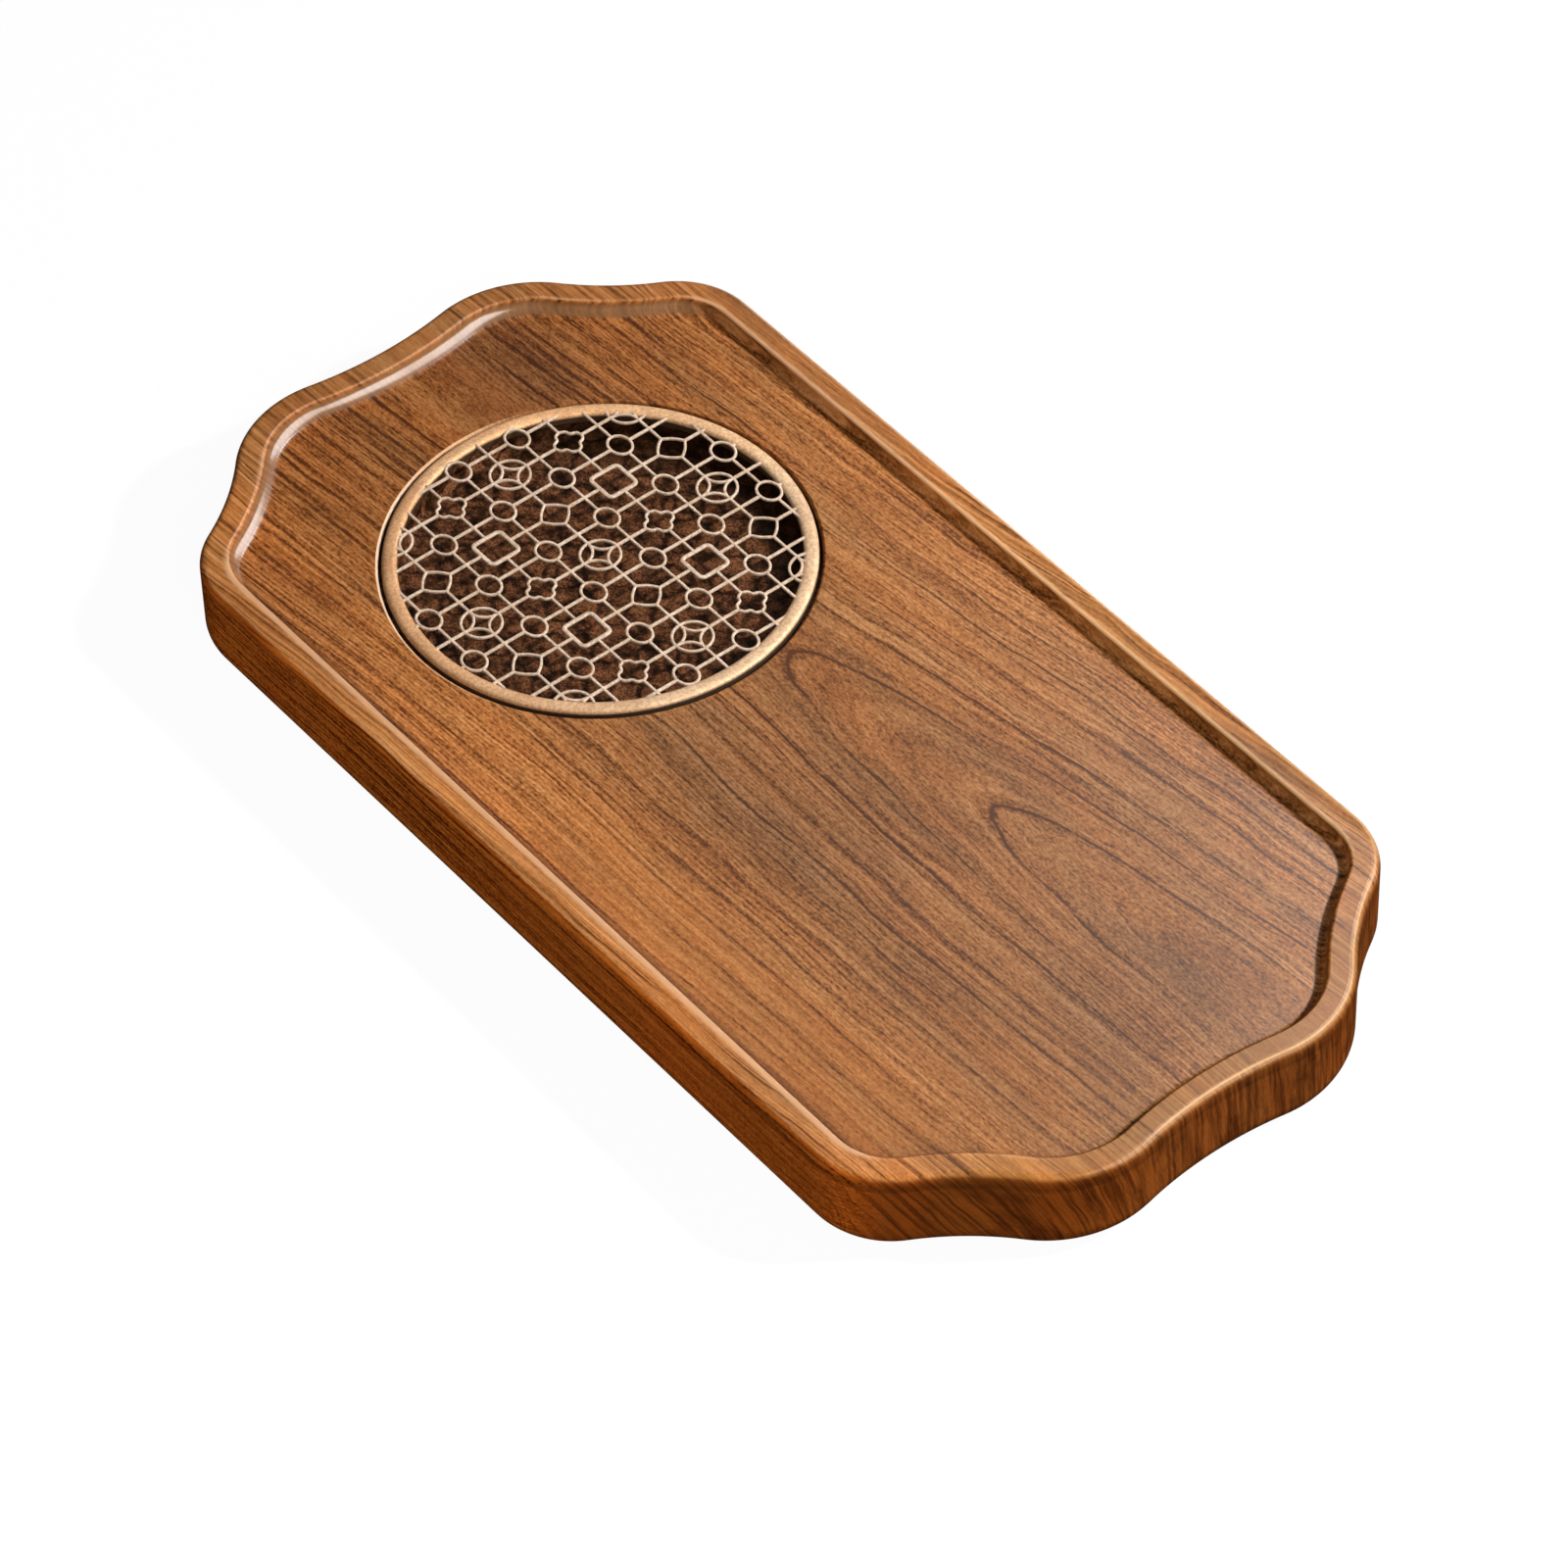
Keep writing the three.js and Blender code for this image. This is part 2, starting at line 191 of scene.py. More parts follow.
# ------------------------------------------------------------------ outline of the board
def outline(inset):
    """Points (x, y, nx, ny) of the outline moved inward, anticlockwise, with the outward normal at each."""
    ax, ay = CORNER_A_X, BOARD_WIDTH / 2 - CORNER_A_R
    bx, by = BOARD_LENGTH / 2 - CORNER_B_R, CORNER_B_Y
    d = math.hypot(bx - ax, by - ay)
    ra, rb = CORNER_A_R + HOLLOW_SIDE_R, CORNER_B_R + HOLLOW_SIDE_R
    along = (ra * ra - rb * rb + d * d) / (2 * d)
    across = math.sqrt(ra * ra - along * along)
    ux, uy = (bx - ax) / d, (by - ay) / d
    cx, cy = ax + ux * along - uy * across, ay + uy * along + ux * across
    ex = bx + math.sqrt((CORNER_B_R + HOLLOW_END_R) ** 2 - by * by)

    def up(t):
        return t + 2 * math.pi if t < 0 else t

    def arc(px, py, r, a0, a1, n, sign):
        return [
            (px + r * math.cos(t), py + r * math.sin(t), sign * math.cos(t), sign * math.sin(t))
            for t in (a0 + (a1 - a0) * i / n for i in range(n + 1))
        ]

    q = arc(ex, 0, HOLLOW_END_R + inset, math.pi, up(math.atan2(by, bx - ex)), 14, -1)
    q += arc(bx, by, CORNER_B_R - inset, math.atan2(-by, ex - bx), math.atan2(cy - by, cx - bx), 26, 1)[1:]
    q += arc(cx, cy, HOLLOW_SIDE_R + inset, up(math.atan2(by - cy, bx - cx)), up(math.atan2(ay - cy, ax - cx)), 24, -1)[1:]
    q += arc(ax, ay, CORNER_A_R - inset, math.atan2(cy - ay, cx - ax), math.pi / 2, 22, 1)[1:]
    side = 24
    q += [(ax * (1 - i / side), BOARD_WIDTH / 2 - inset, 0.0, 1.0) for i in range(1, side + 1)]
    half = q + [(-x, y, -nx, ny) for x, y, nx, ny in reversed(q[:-1])]
    return half + [(x, -y, nx, -ny) for x, y, nx, ny in reversed(half[1:-1])]


# ------------------------------------------------------------------ tray board
def make_board():
    s = Shell()
    profile = bend(-BOTTOM_EDGE_R, Z_BOTTOM + BOTTOM_EDGE_R, BOTTOM_EDGE_R, -90, 0, 14)
    profile += bend(-TOP_EDGE_R, Z_TOP - TOP_EDGE_R, TOP_EDGE_R, 0, 90, 12)
    profile += [(-TOP_EDGE_R - 0.9, Z_TOP, 0, 1), (-RIM_WIDTH + RIM_INNER_R + 1.5, Z_TOP, 0, 1)]
    profile.append((-RIM_WIDTH + RIM_INNER_R + 0.8, Z_TOP, 0, 1))
    profile += bend(-RIM_WIDTH + RIM_INNER_R, Z_TOP - RIM_INNER_R, RIM_INNER_R, 90, 180, 7)
    profile += bend(-RIM_WIDTH - COVE_R, Z_FLOOR + COVE_R, COVE_R, 0, -90, 10, -1)[0 if RIM_INNER_R + COVE_R < Z_TOP - Z_FLOOR - 1e-6 else 1 :]
    profile.append((-RIM_WIDTH - COVE_R - 1.2, Z_FLOOR, 0, 1))
    rows = []
    for u, z, nu, nz in profile:
        tilt = math.degrees(math.acos(max(-1.0, min(1.0, nz))))
        # painted light on the rim: highlights on the rounded top edges and on the rim's inner edge, shade on the far
        # end's inner edge and at the foot of the cove
        near, far, edge, shade, corner_shade = 0.0, 0.0, 0.0, 0.0, 0.0
        inner = u < -RIM_WIDTH + RIM_INNER_R + 0.01
        if u > -TOP_EDGE_R - 0.01 and z > Z_TOP - TOP_EDGE_R:
            near, far = max(0.0, 1 - abs(tilt - 20) / 16), min(1.0, max(0.0, 1.3 - abs(tilt - 45) / 30))
        elif inner and z > Z_TOP - RIM_INNER_R - 0.01:
            edge, shade = min(1.0, max(0.0, 1.2 - abs(tilt - 30) / 50)), min(1.0, tilt / 25)
        elif z > Z_TOP - 0.01 and u < -RIM_WIDTH + RIM_INNER_R + 1.0:
            edge = 0.18
        elif -RIM_WIDTH - COVE_R - 0.1 < u < -RIM_WIDTH and nz > 0.72:
            corner_shade = max(0.0, 1 - abs(nz - 0.93) / 0.16)
        row = []
        for x, y, nx, ny in outline(-u):
            long = abs(ny) ** 3
            if u > -RIM_WIDTH / 2:
                flank = min(1.0, max(0.0, (0.78 + 0.12 * long - nz) / (0.5 - 0.39 * long)))
            else:
                flank = -min(1.0, max(0.0, -1.6 * nx)) if u < -RIM_WIDTH and nz < 0.93 else 0.0
            # painted highlights weighted by the side that faces the light, and painted shade in the corners
            painted_light = (0.8 * far if ny > 0 else 0.4 * near) * long - 1.3 * shade * max(0.0, nx) ** 2
            painted_light += (edge if ny > 0 else min(1.0, 2.4 * edge)) * (0.1 + 0.9 * long)
            painted_light += 0.9 * near * max(0.0, nx) ** 2 * min(1.0, max(0.0, (y + 42.0) / 25.0))
            painted_light -= corner_shade * (1.0 + 0.45 * max(0.0, -ny) - 0.35 * max(0.0, nx)) * (1.0 - 0.8 * max(0.0, -nx))
            # the hollow along the inside of the rim is wider at the grille's end
            wide = 1.0 + 0.5 * max(0.0, -nx) if u < -RIM_WIDTH else 1.0
            more = (wide - 1.0) * (-RIM_WIDTH - u) + (0.5 * max(0.0, -ny) ** 3 if inner else 0.0)
            row.append(s.vert(x - nx * more, y - ny * more, z, (nu * nx / wide, nu * ny / wide, nz), painted_light, flank))
        rows.append(row)
    for a, b in zip(rows, rows[1:]):
        s.band(a, b)
    # well: rounded mouth, ledge, pocket
    well = bend(WELL_MOUTH_R + WELL_EDGE_R, Z_FLOOR - WELL_EDGE_R, WELL_EDGE_R, 90, 180, 6)
    well += bend(WELL_MOUTH_R - 0.4, Z_LEDGE + 0.4, 0.4, 0, -90, 4, -1)
    well += bend(WELL_POCKET_R + 0.3, Z_LEDGE - 0.3, 0.3, 90, 180, 4)
    well += bend(WELL_POCKET_R - 0.6, Z_POCKET + 0.6, 0.6, 0, -90, 5, -1)
    well.append((0, Z_POCKET, 0, 1))

    def painted_edge_light(c, s, z):
        """Painted light on the mouth's edge: a painted highlight on one side and painted shade on the other."""
        return 0.0 if z < Z_FLOOR - 0.9 else max(-1.2, min(1.6, -2.2 * (0.61 * c + 0.79 * s) - 0.6))

    mouth = s.lathe(well, WELL_X, 0, 240, painted_edge_light)[0]
    s.fill(rows[-1], mouth)
    # pockets for the feet
    pocket = bend(FOOT_POCKET_R + 0.3, Z_BOTTOM + 0.3, 0.3, -90, -180, 3)
    pocket += bend(FOOT_POCKET_R - 0.15, FOOT_THICK - 0.15, 0.15, 0, 90, 3, -1)
    pocket.append((0, FOOT_THICK, 0, -1))
    rims = [s.lathe(pocket, x, y, 64)[0] for x, y in FEET.values()]
    s.fill(rows[0], *rims)
    return s.done("board_wood")


# ------------------------------------------------------------------ grille ring
def make_ring():
    s = Shell()
    mid, half = (RING_OUTER_R + RING_INNER_R) / 2, (RING_OUTER_R - RING_INNER_R) / 2
    profile = bend(RING_INNER_R + 0.4, Z_RING_FOOT + 0.4, 0.4, 180, 270, 4)
    profile += bend(RING_SKIRT_R - 0.3, Z_RING_FOOT + 0.3, 0.3, -90, 0, 3)
    profile += bend(RING_SKIRT_R + 0.3, Z_RING_FLANGE - 0.3, 0.3, 180, 90, 3, -1)
    profile += bend(RING_OUTER_R - 0.25, Z_RING_FLANGE + 0.25, 0.25, -90, 0, 3)
    n = 28
    for i in range(n + 1):
        t = math.pi * i / n
        c, d = math.cos(t), math.sin(t)
        u, z = math.copysign(abs(c) ** 0.65, c), max(d, 0.0) ** 0.65
        nu, nz = math.copysign(abs(u) ** 2.08, u) / half, z**2.08 / RING_CROWN
        length = math.hypot(nu, nz)
        profile.append((mid + half * u, Z_RING_EDGE + RING_CROWN * z, nu / length, nz / length))
    # the rows at the ring's foot carry painted shade for the gap against the board
    rings = s.lathe(profile, WELL_X, 0, 256, lambda c, d, z: -1.0 if z < Z_RING_EDGE + 0.3 else 0.0)
    s.band(rings[-1], rings[0])
    return s.done("ring_metal")


# ------------------------------------------------------------------ water dish
def make_dish():
    s = Shell()
    profile = [(0, Z_DISH_BASE, 0, -1)]
    profile += bend(DISH_WALL_R - 2.6, Z_DISH_BASE + 2.6, 2.6, -90, 0, 8)
    profile += bend(DISH_WALL_R + 0.3, Z_DISH_RIM - 1.8, 0.3, 180, 90, 3, -1)
    profile += bend(DISH_FLANGE_R - 0.3, Z_DISH_RIM - 1.2, 0.3, -90, 0, 3)
    profile += bend(DISH_FLANGE_R - 0.4, Z_DISH_RIM - 0.4, 0.4, 0, 90, 4)
    profile += bend(DISH_INNER_R + 0.5, Z_DISH_RIM - 0.5, 0.5, 90, 180, 5)
    profile += bend(DISH_INNER_R - 2.2, Z_DISH_FLOOR + 2.2, 2.2, 0, -90, 8, -1)
    # flat floor
    profile += [(52.0, Z_DISH_FLOOR, 0, 1), (30.0, Z_DISH_FLOOR, 0, 1), (12.0, Z_DISH_FLOOR, 0, 1), (0, Z_DISH_FLOOR, 0, 1)]
    s.lathe(profile, WELL_X, 0, 192)
    return s.done("dish_resin")


# ------------------------------------------------------------------ feet
def make_foot(name, x, y):
    s = Shell()
    profile = [(0, 0.35, 0, -1)]
    profile += bend(3.4, 0.0, 0.35, 90, 0, 1, -1)[:1]
    profile += [(4.2, 0.0, -0.4, -0.92), (5.0, 0.0, 0, -1)]
    profile += bend(FOOT_R - 0.8, 0.8, 0.8, -90, 0, 6)
    profile += bend(FOOT_R - 0.2, FOOT_THICK - 0.2, 0.2, 0, 90, 3)
    profile.append((0, FOOT_THICK, 0, 1))
    s.lathe(profile, x, y, 64)
    return s.done(name.replace("foot", "pad"))


# ------------------------------------------------------------------ grille lattice
def bar_section(width):
    """Flat bar with soft edges seen along its run: (across, z), anticlockwise."""
    w, lo, hi, e = width / 2, Z_LATTICE_FOOT, Z_LATTICE_TOP, 0.2
    pts = [(-w + 0.15, lo), (w - 0.15, lo), (w, lo + 0.15), (w, hi - e)]
    pts += [(w - 0.3 * e, hi - 0.3 * e), (w - e, hi), (-w + e, hi), (-w + 0.3 * e, hi - 0.3 * e)]
    return pts + [(-w, hi - e), (-w, lo + 0.15)]


def sweep(bm, path, closed, section, ox, oy):
    """Carries a section along a flat path of (x, y), mitred at its corners."""
    n = len(path)
    rings = []
    for i in range(n):
        p = Vector(path[i])
        before = (p - Vector(path[i - 1])).normalized() if closed or i > 0 else None
        after = (Vector(path[(i + 1) % n]) - p).normalized() if closed or i < n - 1 else None
        before, after = before or after, after or before
        d = (before + after).normalized()
        stretch = 1 / max(0.5, d.dot(after))
        side = Vector((d.y, -d.x)) * stretch
        rings.append([bm.verts.new(((ox + p.x + side.x * a) * 0.001, (oy + p.y + side.y * a) * 0.001, z * 0.001)) for a, z in section])
    m = len(section)
    for i in range(n if closed else n - 1):
        a, b = rings[i], rings[(i + 1) % n]
        for k in range(m):
            bm.faces.new((a[k], b[k], b[(k + 1) % m], a[(k + 1) % m]))
    if not closed:
        bm.faces.new(rings[0])
        bm.faces.new(list(reversed(rings[-1])))


def oval_path(rx, ry, n):
    return [(rx * math.cos(2 * math.pi * i / n), ry * math.sin(2 * math.pi * i / n)) for i in range(n)]


def rounded_path(corners, r, n):
    """A closed path through corners, each rounded by r."""
    out = []
    m = len(corners)
    for i in range(m):
        p, a, b = Vector(corners[i]), Vector(corners[i - 1]), Vector(corners[(i + 1) % m])
        u, v = (a - p).normalized(), (b - p).normalized()
        half = u.angle(v) / 2
        reach = r / math.tan(half)
        c = p + (u + v).normalized() * (r / math.sin(half))
        s, e = p + u * reach - c, p + v * reach - c
        a0, a1 = math.atan2(s.y, s.x), math.atan2(e.y, e.x)
        while a1 - a0 > math.pi:
            a1 -= 2 * math.pi
        while a1 - a0 < -math.pi:
            a1 += 2 * math.pi
        out += [(c.x + r * math.cos(a0 + (a1 - a0) * k / n), c.y + r * math.sin(a0 + (a1 - a0) * k / n)) for k in range(n + 1)]
    return out


def cushion_path(r, n):
    """A diamond whose sides swell a little."""
    out = []
    for k in range(4):
        a = k * math.pi / 2
        p, q = Vector((math.cos(a), math.sin(a))) * r, Vector((-math.sin(a), math.cos(a))) * r
        side = (p + q).normalized()
        out += [tuple(p.lerp(q, i * 4 / n) + side * 0.5 * math.sin(math.pi * i * 4 / n)) for i in range(n // 4)]
    return out


def flower_path(r, n):
    """A diamond whose sides swell into two lobes that meet in a soft notch."""
    out = []
    for k in range(4):
        a = k * math.pi / 2
        p, q = Vector((math.cos(a), math.sin(a))) * r, Vector((-math.sin(a), math.cos(a))) * r
        side = (p + q).normalized()
        for i in range(n // 4):
            u = i / (n // 4)
            swell = 0.55 * math.sin(2 * math.pi * u) ** 2 - 0.12 * math.exp(-(((u - 0.5) / 0.12) ** 2))
            at = p.lerp(q, u) + side * swell
            out.append((at.x, at.y))
    return out


def coin_arc(k, r, n):
    a = k * math.pi / 2
    reach = r * 1.32
    cx, cy = reach * math.cos(a + math.pi / 4), reach * math.sin(a + math.pi / 4)
    p, q = (r * math.cos(a), r * math.sin(a)), (r * math.cos(a + math.pi / 2), r * math.sin(a + math.pi / 2))
    rad = math.hypot(p[0] - cx, p[1] - cy)
    a0, a1 = math.atan2(p[1] - cy, p[0] - cx), math.atan2(q[1] - cy, q[0] - cx)
    while a1 > a0:
        a1 -= 2 * math.pi
    return [(cx + rad * math.cos(a0 + (a1 - a0) * i / n), cy + rad * math.sin(a0 + (a1 - a0) * i / n)) for i in range(n + 1)]


def kind_at(a, b):
    if a % 2 and b % 2:
        return "oval"
    if a % 2 or b % 2:
        return None
    i, j = abs(a // 2) % 2, abs(b // 2) % 2
    return {(0, 0): "coin", (1, 0): "diamond", (0, 1): "flower", (1, 1): "square"}[i, j]


def shown_at(a, b):
    kind = kind_at(a, b)
    if kind and math.hypot(a, b) * HALF_PITCH < LATTICE_R + (4 if kind == "coin" else -1):
        return kind
    return None


def mesh_object(bm, name):
    bmesh.ops.recalc_face_normals(bm, faces=bm.faces)
    me = bpy.data.meshes.new(name)
    bm.to_mesh(me)
    bm.free()
    ob = bpy.data.objects.new(name, me)
    bpy.context.scene.collection.objects.link(ob)
    return ob


def combine(base, other, how):
    """base joined with or cut by other, which is then removed."""
    mod = base.modifiers.new("cut", "BOOLEAN")
    mod.operation = how
    mod.object = other
    mod.solver = "MANIFOLD"
    bpy.context.view_layer.update()
    made = bpy.data.meshes.new_from_object(base.evaluated_get(bpy.context.evaluated_depsgraph_get()))
    base.modifiers.clear()
    old = base.data
    base.data = made
    bpy.data.meshes.remove(old)
    gone = other.data
    bpy.data.objects.remove(other)
    bpy.data.meshes.remove(gone)


def make_lattice():
    line, heavy = bar_section(LINE_WIDTH), bar_section(SQUARE_LINE)
    bars = {"along": bar_section(BAR_WIDTH), "across": bar_section(CROSS_WIDTH)}
    w = LINE_WIDTH / 2
    groups = {}

    def group(name):
        if name not in groups:
            groups[name] = bmesh.new()
        return groups[name]

    for a in range(-7, 8):
        for b in range(-7, 8):
            kind = shown_at(a, b)
            x, y = WELL_X + a * HALF_PITCH, b * HALF_PITCH
            if kind == "oval":
                sweep(group("ovals"), oval_path(OVAL_RX - w, OVAL_RY - w, 40), True, line, x, y)
            elif kind == "diamond":
                sweep(group("closed"), cushion_path(DIAMOND_R - w, 40), True, line, x, y)
            elif kind == "flower":
                sweep(group("closed"), flower_path(FLOWER_R - w, 64), True, line, x, y)
            elif kind == "square":
                h = SQUARE_HALF - SQUARE_LINE / 2
                sweep(group("closed"), rounded_path([(h, -h), (h, h), (-h, h), (-h, -h)], 1.5, 6), True, heavy, x, y)
            elif kind == "coin":
                sweep(group("closed"), oval_path(COIN_R - w, COIN_R - w, 56), True, line, x, y)
                for k in range(4):
                    sweep(group("arcs%d" % (k % 2)), coin_arc(k, COIN_R - w, 14), False, line, x, y)
    reach_x = {"coin": COIN_R, "diamond": DIAMOND_R, "flower": FLOWER_R, "square": SQUARE_HALF, "oval": OVAL_RX}
    reach_y = dict(reach_x, oval=OVAL_RY)
    for c in range(-5, 6):
        for name, reach in (("along", reach_x), ("across", reach_y)):
            at = -math.sqrt(64.0**2 - (c * HALF_PITCH) ** 2)
            end = -at
            stops = []
            for s in range(-7, 8):
                kind = shown_at(s, c) if name == "along" else shown_at(c, s)
                if kind:
                    stops.append((s * HALF_PITCH, reach[kind] - 0.55))
            for mid, r in stops + [(end, 0.0)]:
                if mid - r > at + 0.2:
                    p, q = at, mid - r
                    if name == "along":
                        path = [(p, c * HALF_PITCH), (q, c * HALF_PITCH)]
                    else:
                        path = [(c * HALF_PITCH, p), (c * HALF_PITCH, q)]
                    sweep(group(name), path, False, bars[name], WELL_X, 0)
                at = mid + r
    obs = [mesh_object(bm, name) for name, bm in groups.items()]
    base = obs[0]
    for other in obs[1:]:
        combine(base, other, "UNION")
    disc = bmesh.new()
    bmesh.ops.create_cone(disc, cap_ends=True, segments=192, radius1=LATTICE_R * 0.001, radius2=LATTICE_R * 0.001, depth=0.01,
                          matrix=Matrix.Translation((WELL_X * 0.001, 0, 0.029)))
    combine(base, mesh_object(disc, "disc"), "INTERSECT")
    base.name = base.data.name = "lattice_metal"
    base.data.shade_smooth()
    base.data.set_sharp_from_angle(angle=math.radians(38))
    return base


# ------------------------------------------------------------------ materials
class Graph:
    """A material's nodes, written as expressions."""

    def __init__(self, name):
        self.mat = bpy.data.materials.new(name)
        self.mat.use_nodes = True
        self.nt = self.mat.node_tree
        self.nt.nodes.clear()
        out = self.nt.nodes.new("ShaderNodeOutputMaterial")
        self.shader = self.nt.nodes.new("ShaderNodeBsdfPrincipled")
        self.nt.links.new(self.shader.outputs[0], out.inputs[0])
        self.place = self.nt.nodes.new("ShaderNodeTexCoord").outputs["Object"]

    def put(self, socket, value):
        if isinstance(value, bpy.types.NodeSocket):
            self.nt.links.new(value, socket)
        else:
            socket.default_value = value

    def set(self, **values):
        for name, value in values.items():
            self.put(self.shader.inputs[name.replace("_", " ")], value)

    def math(self, op, a, b=None, c=None):
        n = self.nt.nodes.new("ShaderNodeMath")
        n.operation = op
        for s, v in zip(n.inputs, (a, b, c)):
            if v is not None:
                self.put(s, v)
        return n.outputs[0]

    def add(self, a, b):
        return self.math("ADD", a, b)

    def sub(self, a, b):
        return self.math("SUBTRACT", a, b)

    def mul(self, a, b):
        return self.math("MULTIPLY", a, b)

    def scaled(self, vector, by):
        n = self.nt.nodes.new("ShaderNodeVectorMath")
        n.operation = "MULTIPLY"
        self.put(n.inputs[0], vector)
        self.put(n.inputs[1], by)
        return n.outputs[0]

    def parts(self, vector):
        n = self.nt.nodes.new("ShaderNodeSeparateXYZ")
        self.put(n.inputs[0], vector)
        return n.outputs

    def vector(self, x, y, z):
        n = self.nt.nodes.new("ShaderNodeCombineXYZ")
        for s, v in zip(n.inputs, (x, y, z)):
            self.put(s, v)
        return n.outputs[0]

    def attribute(self, name):
        n = self.nt.nodes.new("ShaderNodeAttribute")
        n.attribute_name = name
        return n.outputs["Fac"]

    def noise(self, vector, scale=1.0, detail=2.0, rough=0.5, distortion=0.0):
        n = self.nt.nodes.new("ShaderNodeTexNoise")
        self.put(n.inputs["Vector"], vector)
        self.put(n.inputs["Scale"], scale)
        self.put(n.inputs["Detail"], detail)
        self.put(n.inputs["Roughness"], rough)
        self.put(n.inputs["Distortion"], distortion)
        return n.outputs["Fac"]

    def step(self, value, lo, hi, out_lo=0.0, out_hi=1.0):
        n = self.nt.nodes.new("ShaderNodeMapRange")
        n.interpolation_type = "SMOOTHSTEP"
        for s, v in zip(n.inputs, (value, lo, hi, out_lo, out_hi)):
            self.put(s, v)
        return n.outputs[0]

    def ramp(self, value, lo, hi, out_lo=0.0, out_hi=1.0):
        n = self.nt.nodes.new("ShaderNodeMapRange")
        n.clamp = True
        for s, v in zip(n.inputs, (value, lo, hi, out_lo, out_hi)):
            self.put(s, v)
        return n.outputs[0]

    def mix(self, fac, a, b, blend="MIX"):
        n = self.nt.nodes.new("ShaderNodeMix")
        n.data_type = "RGBA"
        n.blend_type = blend
        self.put(n.inputs[0], fac)
        self.put(n.inputs[6], a)
        self.put(n.inputs[7], b)
        return n.outputs[2]

    def bump(self, height, strength, distance):
        n = self.nt.nodes.new("ShaderNodeBump")
        self.put(n.inputs["Strength"], strength)
        self.put(n.inputs["Distance"], distance)
        self.put(n.inputs["Height"], height)
        return n.outputs[0]


def rgb(r, g, b):
    return (r, g, b, 1.0)


def wood_material():
    g = Graph("walnut_plank")
    mm = g.scaled(g.place, (1000, 1000, 1000))
    x, y, z = g.parts(mm)
    down = g.sub(Z_FLOOR, z)
    # slow wander of the grain, and a finer ripple
    slow = g.sub(g.noise(g.scaled(mm, (0.0085, 0.020, 0.020)), 1, 2.0, 0.5), 0.5)
    fine = g.sub(g.noise(g.scaled(mm, (0.040, 0.11, 0.11)), 1, 2.0, 0.5), 0.5)
    yw = g.add(g.add(y, g.mul(slow, 11.0)), g.mul(fine, 2.6))
    # growth rings about a pith that dives under the floor towards -X, so that the figure opens towards +X
    t = g.sub(yw, g.add(g.mul(x, 0.065), 20.0))
    xw = g.add(x, g.mul(fine, 9.0))
    xw = g.sub(g.mul(g.math("LOGARITHM", g.add(g.math("EXPONENT", g.mul(g.add(xw, 45.0), 1 / 20.0)), 1.0), math.e), 20.0), 45.0)
    rise = g.math("EXPONENT", g.mul(g.sub(110.0, xw), 1 / 30.0))
    soft = g.math("LOGARITHM", g.add(rise, 1.0), math.e)
    h = g.math("SQRT", g.mul(soft, 168.0))
    off = g.math("ABSOLUTE", t)
    ring = g.math("SQRT", g.add(g.mul(t, t), g.mul(h, h)))
    v = g.add(ring, g.mul(down, g.step(off, 8.0, 50.0, 0.12, 0.46)))
    side = g.step(g.math("ABSOLUTE", y), 98.0, 100.6)
    v = g.add(v, g.mul(g.mul(g.math("MAXIMUM", g.add(down, 3.0), 0.0), side), 1.1))
    # how fast the rings change across the surface, to keep the lines thin where the figure turns
    lean = g.math("DIVIDE", g.mul(rise, 2.8), g.add(rise, 1.0))
    rate = g.math("DIVIDE", g.math("SQRT", g.add(g.mul(t, t), g.mul(lean, lean))), ring)
    rate = g.math("MAXIMUM", rate, 0.16)
    # strong latewood lines, none in the innermost figure, and weaker ones between them
    uneven = g.sub(g.noise(g.vector(g.mul(x, 0.001), g.mul(v, 0.05), 3.7), 1, 1.0), 0.5)
    turn = g.math("FRACT", g.add(g.add(g.mul(v, 1 / 9.4), 0.75), g.mul(uneven, 0.9)))
    away = g.math("DIVIDE", g.mul(g.sub(turn, 0.5), 9.4), rate)
    line = g.mul(g.step(away, -1.05, -0.2), g.step(away, 0.0, 0.40, 1.0, 0.0))
    line = g.mul(line, g.step(v, 11.0, 15.0))
    fade = g.step(g.noise(g.scaled(mm, (0.014, 0.07, 0.07)), 1, 2.0, 0.6), 0.34, 0.58, 0.40, 1.0)
    loose = g.sub(g.noise(g.vector(g.mul(x, 0.004), g.mul(v, 0.11), 9.1), 1, 1.0), 0.5)
    turn2 = g.math("FRACT", g.add(g.mul(v, 1 / 4.1), g.mul(loose, 2.6)))
    away2 = g.math("DIVIDE", g.mul(g.sub(turn2, 0.5), 4.1), rate)
    line2 = g.mul(g.step(away2, -0.6, -0.08), g.step(away2, 0.08, 0.36, 1.0, 0.0))
    fade2 = g.step(g.noise(g.scaled(mm, (0.011, 0.20, 0.20)), 1, 2.0, 0.6), 0.38, 0.62, 0.0, 1.0)
    line2 = g.mul(g.mul(line2, fade2), g.step(v, 14.0, 34.0, 0.25, 1.0))
    # a pale line beside each of those
    glint = g.mul(g.mul(g.step(away2, 0.40, 0.70), g.step(away2, 0.85, 1.25, 1.0, 0.0)), fade2)
    # close streaks between them, calmer around the middle of the figure
    grain = g.sub(g.noise(g.vector(g.mul(x, 0.014), g.mul(v, 0.58), 0.0), 1, 1.0, 0.5), 0.5)
    hair = g.sub(g.noise(g.vector(g.mul(x, 0.006), g.mul(g.add(v, g.mul(fine, 1.5)), 1.3), 3.3), 1, 1.0, 0.6), 0.5)
    streak = g.sub(g.noise(g.vector(g.mul(x, 0.075), g.mul(g.add(yw, g.mul(down, 0.4)), 0.85), g.mul(z, 0.5)), 1, 1.0, 0.5), 0.5)
    calm = g.step(off, 6.0, 26.0, 0.5, 1.0)
